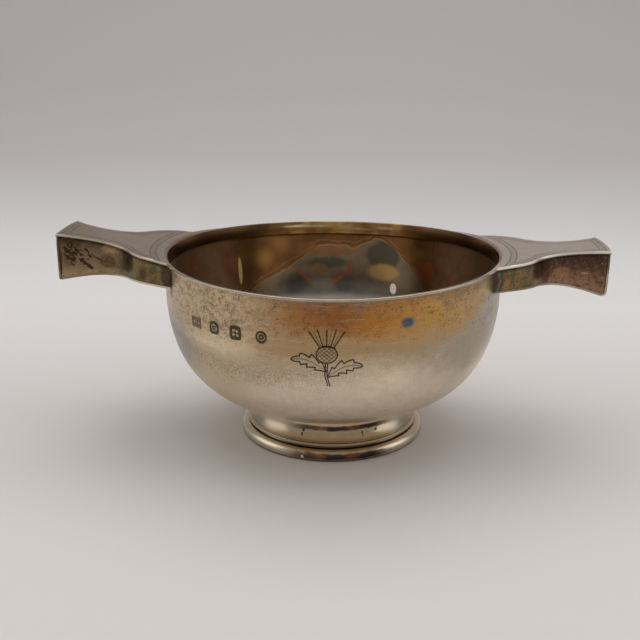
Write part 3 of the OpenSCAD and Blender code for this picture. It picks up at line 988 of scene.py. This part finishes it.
def sideShift(x, y, h):
    # the near shoulder is cut a little narrower than the far one
    root = share(1 - (x - rimR) / rootSet["near"])
    return h["nearIn"] * root * root * share(-y / rootSet["near"])


def endShift(y, w, h):
    # the outer edge bows outwards, and less so at the near corner where nearBow is small
    bow = h["nearBow"] if y < 0 else handleSet["endBow"]
    return (handleSet["endBow"] - bow) * min(1, (y / w) ** 2)


def endLean(x, z, h):
    # the handle's end stands out further at the bottom than at the plate
    out = share((x - leanSet["from"]) / leanSet["run"])
    down = share((rootZ + leanSet["top"] - z) / leanSet["height"])
    return h["lean"] * out * out * down


def faceOut(bm, outward):
    # points an open sheet's faces outwards
    bmesh.ops.recalc_face_normals(bm, faces=bm.faces)
    total = sum((f.normal * f.calc_area() for f in bm.faces), Vector())
    if total.dot(outward) < 0:
        bmesh.ops.reverse_faces(bm, faces=bm.faces)


def plateEdge(reach):
    # one edge of the plate from the wing's tip along the rim, past the shoulder, to the outer corner
    s = handleSet
    tip = math.radians(s["wingAngle"])
    shift = s["wingW"] / (1 - math.cos(tip))
    wingR = rimR + s["wingW"] - shift
    points = []
    for x in np.linspace(rimR * math.cos(tip), reach - s["endBow"], s["edgePoints"]):
        wing = math.sqrt(max(0, wingR ** 2 - (x - shift) ** 2)) if x < shift + wingR else 0
        rim = math.sqrt(max(0, rimR ** 2 - x ** 2)) if x < rimR else 0
        body = halfWidth(x) if halfWidth(x) > rim else 0
        points.append((x, max(wing, body)))
    line = np.array(points)
    run = np.concatenate([[0], np.cumsum(np.linalg.norm(np.diff(line, axis=0), axis=1))])
    return line, run / run[-1]


def borderDepth(x, y, reach, endR):
    # two lines with a zigzag between them, all round the plate
    s = handleSet
    root = math.hypot(x, y) - rimR - s["rimLineOut"]
    lean = (halfWidth(x + 0.05) - halfWidth(x - 0.05)) / 0.1
    side = (halfWidth(x) - abs(y)) / math.sqrt(1 + lean * lean)
    end = endR - math.hypot(x - (reach - endR), y)
    inset = min(side, end, root)
    run = y if inset == end else (math.atan2(y, x) * rimR if inset == root else x)
    low, high = s["lineAt"]
    phase = abs((run / s["zigzag"]) % 1 - 0.5) * 2
    zig = low + s["zigInset"] + (high - low - 2 * s["zigInset"]) * phase
    half = s["lineW"] / 2
    cut = 0
    for line, deep in ((low, 1), (high, 1), (zig, s["zigShare"])):
        off = abs(inset - line)
        if off < half:
            cut = max(cut, deep * (1 - (off / half) ** 2))
    return cut


def makePlate(name, h):
    s = handleSet
    reach, highest = plateReach(name)
    reach -= clear
    line, run = plateEdge(reach)
    endW = halfWidth(reach - s["endBow"])
    endR = (endW ** 2 + s["endBow"] ** 2) / (2 * s["endBow"])
    bm = bmesh.new()
    bmesh.ops.create_grid(bm, x_segments=s["rows"], y_segments=s["columns"], size=1)
    oxide = bm.verts.layers.float.new("oxide")
    for v in bm.verts:
        t, across = (v.co.x + 1) / 2, v.co.y
        edgeX = np.interp(t, run, line[:, 0])
        edgeW = np.interp(t, run, line[:, 1])
        bend = 1 / (1 / rimR + t * (1 / endR - 1 / rimR))
        y = across * edgeW
        x = edgeX + math.sqrt(bend ** 2 - y ** 2) - math.sqrt(bend ** 2 - edgeW ** 2)
        cut = borderDepth(x, y, reach, endR) if math.hypot(x, y) > rimR + s["cutFrom"] else 0
        top = min(highest - clear, plateTop(x, y, h))
        if abs(across) > 0.999 or t > 0.999:
            top -= s["chamfer"]
        v.co = (x + endShift(y, edgeW, h) * t ** 8, y + sideShift(x, y, h), top - cut * s["lineDeep"])
        v.co.xy *= max(1, (rimR - s["overRim"]) / math.hypot(v.co.x, v.co.y))
        v[oxide] = cut
    # the worn chamfer along the sides and the end, in the edge silver with its painted highlight
    for v in bm.verts:
        if v.is_boundary and v.co.x > rimR:
            for face in v.link_faces:
                face.material_index = 1
    rim = [e for e in bm.edges if e.is_boundary]
    for drop in (s["plateT"] - s["under"], s["under"]):
        made = bmesh.ops.extrude_edge_only(bm, edges=rim)["geom"]
        for g in made:
            if isinstance(g, bmesh.types.BMFace):
                g.material_index = 1 if drop > s["under"] else 0
        rim = [g for g in made if isinstance(g, bmesh.types.BMEdge)]
        lower = [g for g in made if isinstance(g, bmesh.types.BMVert)]
        bmesh.ops.translate(bm, vec=(0, 0, -drop), verts=lower)
    # the lowest edge is drawn in, so that the plate's edge is undercut
    for v in lower:
        v.co.y -= math.copysign(min(s["under"], abs(v.co.y)), v.co.y)
    bmesh.ops.contextual_create(bm, geom=rim)
    setHandle(bm, h)
    addPiece(bm, name + "_lug_plate", [name + "_top_plate"], [plateSilver, edgeSilver])


def underside(x, h, inset):
    # height of the arched underside, or of a face above it, before the handle is set
    r = h["archR"]
    return rootZ - h["depth"] - r + math.sqrt((r + inset) ** 2 - (x - rimR - h["arch"]) ** 2)


def strapBend(h):
    # middle of the bend between the strap's underside and its end, before the handle is set
    s = handleSet
    bendX = h["reach"] - s["endBow"] - s["endLap"] - s["bendR"]
    return bendX, underside(bendX, h, s["bendR"])


def keepInWall(bm):
    # what is soldered to the bowl ends inside the bowl's own wall
    least = bowlR - bowlSet["wall"] / 2
    for v in bm.verts:
        radius = math.hypot(v.co.x, v.co.y)
        if radius < least:
            v.co.xy *= least / radius


def makeStrap(name, h):
    s = handleSet
    bendX, bendZ = strapBend(h)
    endX = bendX + s["bendR"]
    arch = rimR + h["arch"]
    archZ = rootZ - h["depth"] - h["archR"]
    bendTurn = math.degrees(math.atan2(bendZ - archZ, bendX - arch))
    startTurn = 90 + math.degrees(math.asin((arch - s["rootX"]) / h["archR"]))
    profile = arcPoints((arch, archZ), h["archR"], startTurn, bendTurn, s["archStep"])
    profile += arcPoints((bendX, bendZ), s["bendR"], bendTurn - 180, 0, s["bendStep"])[1:]
    topZ = rootZ + (endX - rimR) * slope - s["plateT"] - s["overlap"]
    profile += [(endX, z) for z in np.linspace(bendZ + s["endGap"], topZ, s["endRows"])]
    bm = bmesh.new()
    bmesh.ops.create_grid(bm, x_segments=len(profile) - 1, y_segments=s["strapColumns"], size=1)
    first, last = profile[0][0], s["fitTo"]
    for v in bm.verts:
        x, z = profile[round((v.co.x + 1) / 2 * (len(profile) - 1))]
        half = halfWidth(min(x, endX)) - s["plateLap"]
        y = v.co.y * half
        if x < last:
            wall = math.sqrt((bowlR - s["sink"]) ** 2 - y * y)
            x = wall + (x - first) / (last - first) * (last - wall)
            half = halfWidth(x) - s["plateLap"]
            y = v.co.y * half
            z = underside(x, h, 0)
        out = share((x - s["endFrom"]) / (endX - s["endFrom"]))
        v.co = (x + endShift(y, half, h) * out ** 3, y + sideShift(x, y, h), z)
    faceOut(bm, Vector((0, 0, -1)))
    outside = set(bm.verts)
    bmesh.ops.solidify(bm, geom=list(bm.faces), thickness=s["strapT"])
    # the end stays inside the plate's reach, at its full thickness
    farthest = plateReach(name)[0] - s["overlap"]
    for v in bm.verts:
        x, z = handleTurn(v.co.x, v.co.z, h)
        limit = farthest if v in outside else farthest - s["strapT"]
        v.co = (min(x + endLean(x, z, h), limit), v.co.y, z)
    keepInWall(bm)
    setHandle(bm, h)
    addPiece(bm, name + "_strap", [name + "_under_strap"], [strapSilver])


# Corrosion pits on the left handle's front: width of each line, and its points by distance
# from the bowl's axis and drop below the plate
pitSet = {
    "deep": 0.14,
    "dark": 1.3,
    "wander": 0.6,
    "waver": 0.9,
    "out": 0.6,
    "lines": (
        (0.7, ((76.1, 1.4), (75.4, 2.5), (75.9, 3.6), (77.2, 4.2))),
        (0.8, ((77.6, 3.2), (76.1, 4.7), (74.6, 4.2))),
        (0.9, ((76.8, 5.9), (75.9, 6.6), (75.2, 6.3))),
        (0.7, ((77.8, 5.2), (77.2, 6.4))),
        (0.5, ((76.4, 7.4), (75.6, 7.7))),
        (0.55, ((74.7, 3.0), (73.4, 4.6), (72.5, 5.0))),
        (0.55, ((72.2, 3.0), (70.8, 3.7), (71.5, 4.6), (70.3, 5.0))),
        (1.1, ((72.9, 6.6), (71.7, 7.4), (70.6, 8.2))),
        (0.5, ((77.0, 6.0), (75.4, 6.8))),
        (0.5, ((73.9, 5.9), (73.1, 6.3), (72.8, 6.0))),
        (0.5, ((76.9, 2.2), (76.0, 2.9))),
        (0.5, ((74.9, 5.4), (75.9, 5.6), (76.4, 5.2))),
        (0.6, ((69.2, 4.7), (68.2, 5.3))),
        (0.5, ((67.7, 5.2), (67.2, 5.6))),
        (0.5, ((71.6, 5.8), (71.0, 5.9))),
        (0.45, ((74.0, 3.6), (73.2, 3.4))),
        (0.45, ((77.4, 5.0), (76.9, 5.4))),
        (0.45, ((75.2, 3.9), (74.4, 5.0))),
        (0.4, ((70.0, 4.2), (69.5, 4.5))),
    ),
}
# The painted shadow line under the plate: its drop, its fade, and the darkest it and the pits get
plateShadowSet = {"drop": 1.1, "fade": 0.8, "dark": 0.9}


def makeWall(name, h, face):
    # face is -1 at the front and 1 at the back
    s = handleSet
    inset = s["plateLap"] + s["wallBack"]
    rootY = face * (halfWidth(s["rootX"]) - inset)
    rootY += sideShift(s["rootX"], rootY, h)
    start = math.sqrt((bowlR - s["sink"]) ** 2 - rootY ** 2)
    bendX, bendZ = strapBend(h)
    bendX += endShift(face, 1, h)
    bendIn = s["bendR"] - s["strapT"]
    endX = bendX + bendIn
    bendIn += s["overlap"]
    farthest = plateReach(name)[0] - s["strapT"]
    bm = bmesh.new()
    bmesh.ops.create_grid(bm, x_segments=s["wallColumns"], y_segments=s["wallRows"], size=1)
    oxide = bm.verts.layers.float.new("oxide")
    fall = bm.verts.layers.float.new("fall")
    verts = list(bm.verts)
    flat = []
    for v in verts:
        t, up = (v.co.x + 1) / 2, (v.co.y + 1) / 2
        x = start + t * (endX - start)
        y = face * (halfWidth(x) - inset)
        y += sideShift(x, y, h)
        low = underside(x, h, s["strapT"] - s["overlap"])
        if x > bendX:
            low = bendZ - math.sqrt(max(0, bendIn ** 2 - (x - bendX) ** 2))
        lowX, lowZ = handleTurn(x, low, h)
        lowX = min(lowX + endLean(lowX, lowZ, h), farthest)
        highX = handleTurn(x, rootZ + (x - rimR) * slope, h)[0]
        highZ = plateTop(highX, y, h) - s["plateT"] + s["overlap"]
        v.co = (lowX + up * (highX - lowX), y, lowZ + up * (highZ - lowZ))
        v[fall] = 1 - up
        drop = (1 - up) * (highZ - lowZ)
        # painted shadow: a dark line along the wall's top, under the plate's edge, kept with the oxide
        v[oxide] = plateShadowSet["dark"] * share((plateShadowSet["drop"] - drop) / plateShadowSet["fade"])
        flat.append((v.co.x - pitSet["out"], drop))
    if name == "left" and face < 0:
        # pits drawn wavering, and eaten away in places
        spots = [v.co / pitSet["waver"] for v in verts]
        wander = np.array([(noise.noise(p), noise.noise(p + Vector((7, 3, 5)))) for p in spots])
        flat = np.array(flat) + pitSet["wander"] * wander
        pits = strokeDepth(flat, [(line, width, pitSet["deep"]) for width, line in pitSet["lines"]])
        for v, d in zip(verts, pits):
            v.co.y += d
            v[oxide] = max(v[oxide], min(plateShadowSet["dark"], d / pitSet["deep"] * pitSet["dark"]))
    faceOut(bm, Vector((0, face, 0)))
    bmesh.ops.solidify(bm, geom=list(bm.faces), thickness=s["wallT"])
    # the end stays inside the strap's thickness
    for v in bm.verts:
        v.co.x = min(v.co.x, farthest + s["strapT"] / 2)
    keepInWall(bm)
    setHandle(bm, h)
    end = "_front" if face < 0 else "_back"
    addPiece(bm, name + end + "_side", [name + end + "_wall"], [wallSilver])


for name, h in sideSet.items():
    makePlate(name, h)
    makeStrap(name, h)
    makeWall(name, h, -1)
    makeWall(name, h, 1)

# Floor that sweeps up behind the cup
floorSet = {
    "half": 1500, "back": 620, "bend": 260, "top": 900, "step": 15, "rough": 0.8,
    "shadeFrom": -100.0, "shadeTo": 700.0,  # the colours run from before the cup's middle to behind it
    "shades": ((0.0, "e5dfdb"), (0.14, "ded9d6"), (0.29, "e6e2e0"), (0.41, "dfdcdb"),
               (0.5, "d8d5d5"), (0.6, "d0cdcd"), (0.74, "beb9b8"), (0.9, "b7b2b0")),
}


def makeFloor():
    s = floorSet
    bendY = s["back"] - s["bend"]
    profile = [(-s["half"], 0), (bendY, 0)]
    profile += arcPoints((bendY, s["bend"]), s["bend"], -90, 0, s["step"])[1:]
    profile += [(s["back"], s["top"])]
    bm = bmesh.new()
    verts = [bm.verts.new((-s["half"], y, z)) for y, z in profile]
    edges = [bm.edges.new(pair) for pair in zip(verts, verts[1:])]
    made = bmesh.ops.extrude_edge_only(bm, edges=edges)["geom"]
    moved = [g for g in made if isinstance(g, bmesh.types.BMVert)]
    bmesh.ops.translate(bm, vec=(2 * s["half"], 0, 0), verts=moved)
    bmesh.ops.recalc_face_normals(bm, faces=bm.faces)
    # matt pale paper, a little darker far up as painted shade
    p = Paint("paleFloor")
    far = p.add("Math", {0: p.y, 1: p.z}, plus)
    far = p.add("MapRange", {0: far, 1: s["shadeFrom"], 2: s["shadeTo"]})
    shade = p.add("ValToRGB", {0: far}, {"ramp": s["shades"]})
    setInputs(p.shader, {"Base Color": shade, "Roughness": s["rough"]})
    floor = addObject(bm, "floor", [p.material])


makeFloor()

# Soft light: an even sky, one large lamp above and a little behind, and a weaker one on each side
lightSet = {
    "sky": 0.4,
    "lamps": {
        "lampTop": {"at": (0, 190, 800), "size": 860, "watts": 3.6},
        "lampLeft": {"at": (-800, -20, 420), "size": 560, "watts": 0.9},
        "lampRight": {"at": (800, 0, 420), "size": 560, "watts": 0.9},
    },
}


def makeLight():
    world = bpy.data.worlds.new("sky")
    bpy.context.scene.world = world
    world.use_nodes = True
    setInputs(world.node_tree.nodes["Background"], {"Color": "ffffff", "Strength": lightSet["sky"]})
    for name, s in lightSet["lamps"].items():
        data = bpy.data.lights.new(name, "AREA")
        data.size = s["size"] * mm
        data.energy = s["watts"]
        lamp = bpy.data.objects.new(name, data)
        lamp.location = Vector(s["at"]) * mm
        lamp.rotation_euler = (-Vector(s["at"])).to_track_quat("-Z", "Y").to_euler()
        bpy.context.collection.objects.link(lamp)


makeLight()
bpy.context.scene.view_settings.view_transform = "Standard"
print("floor and light made")
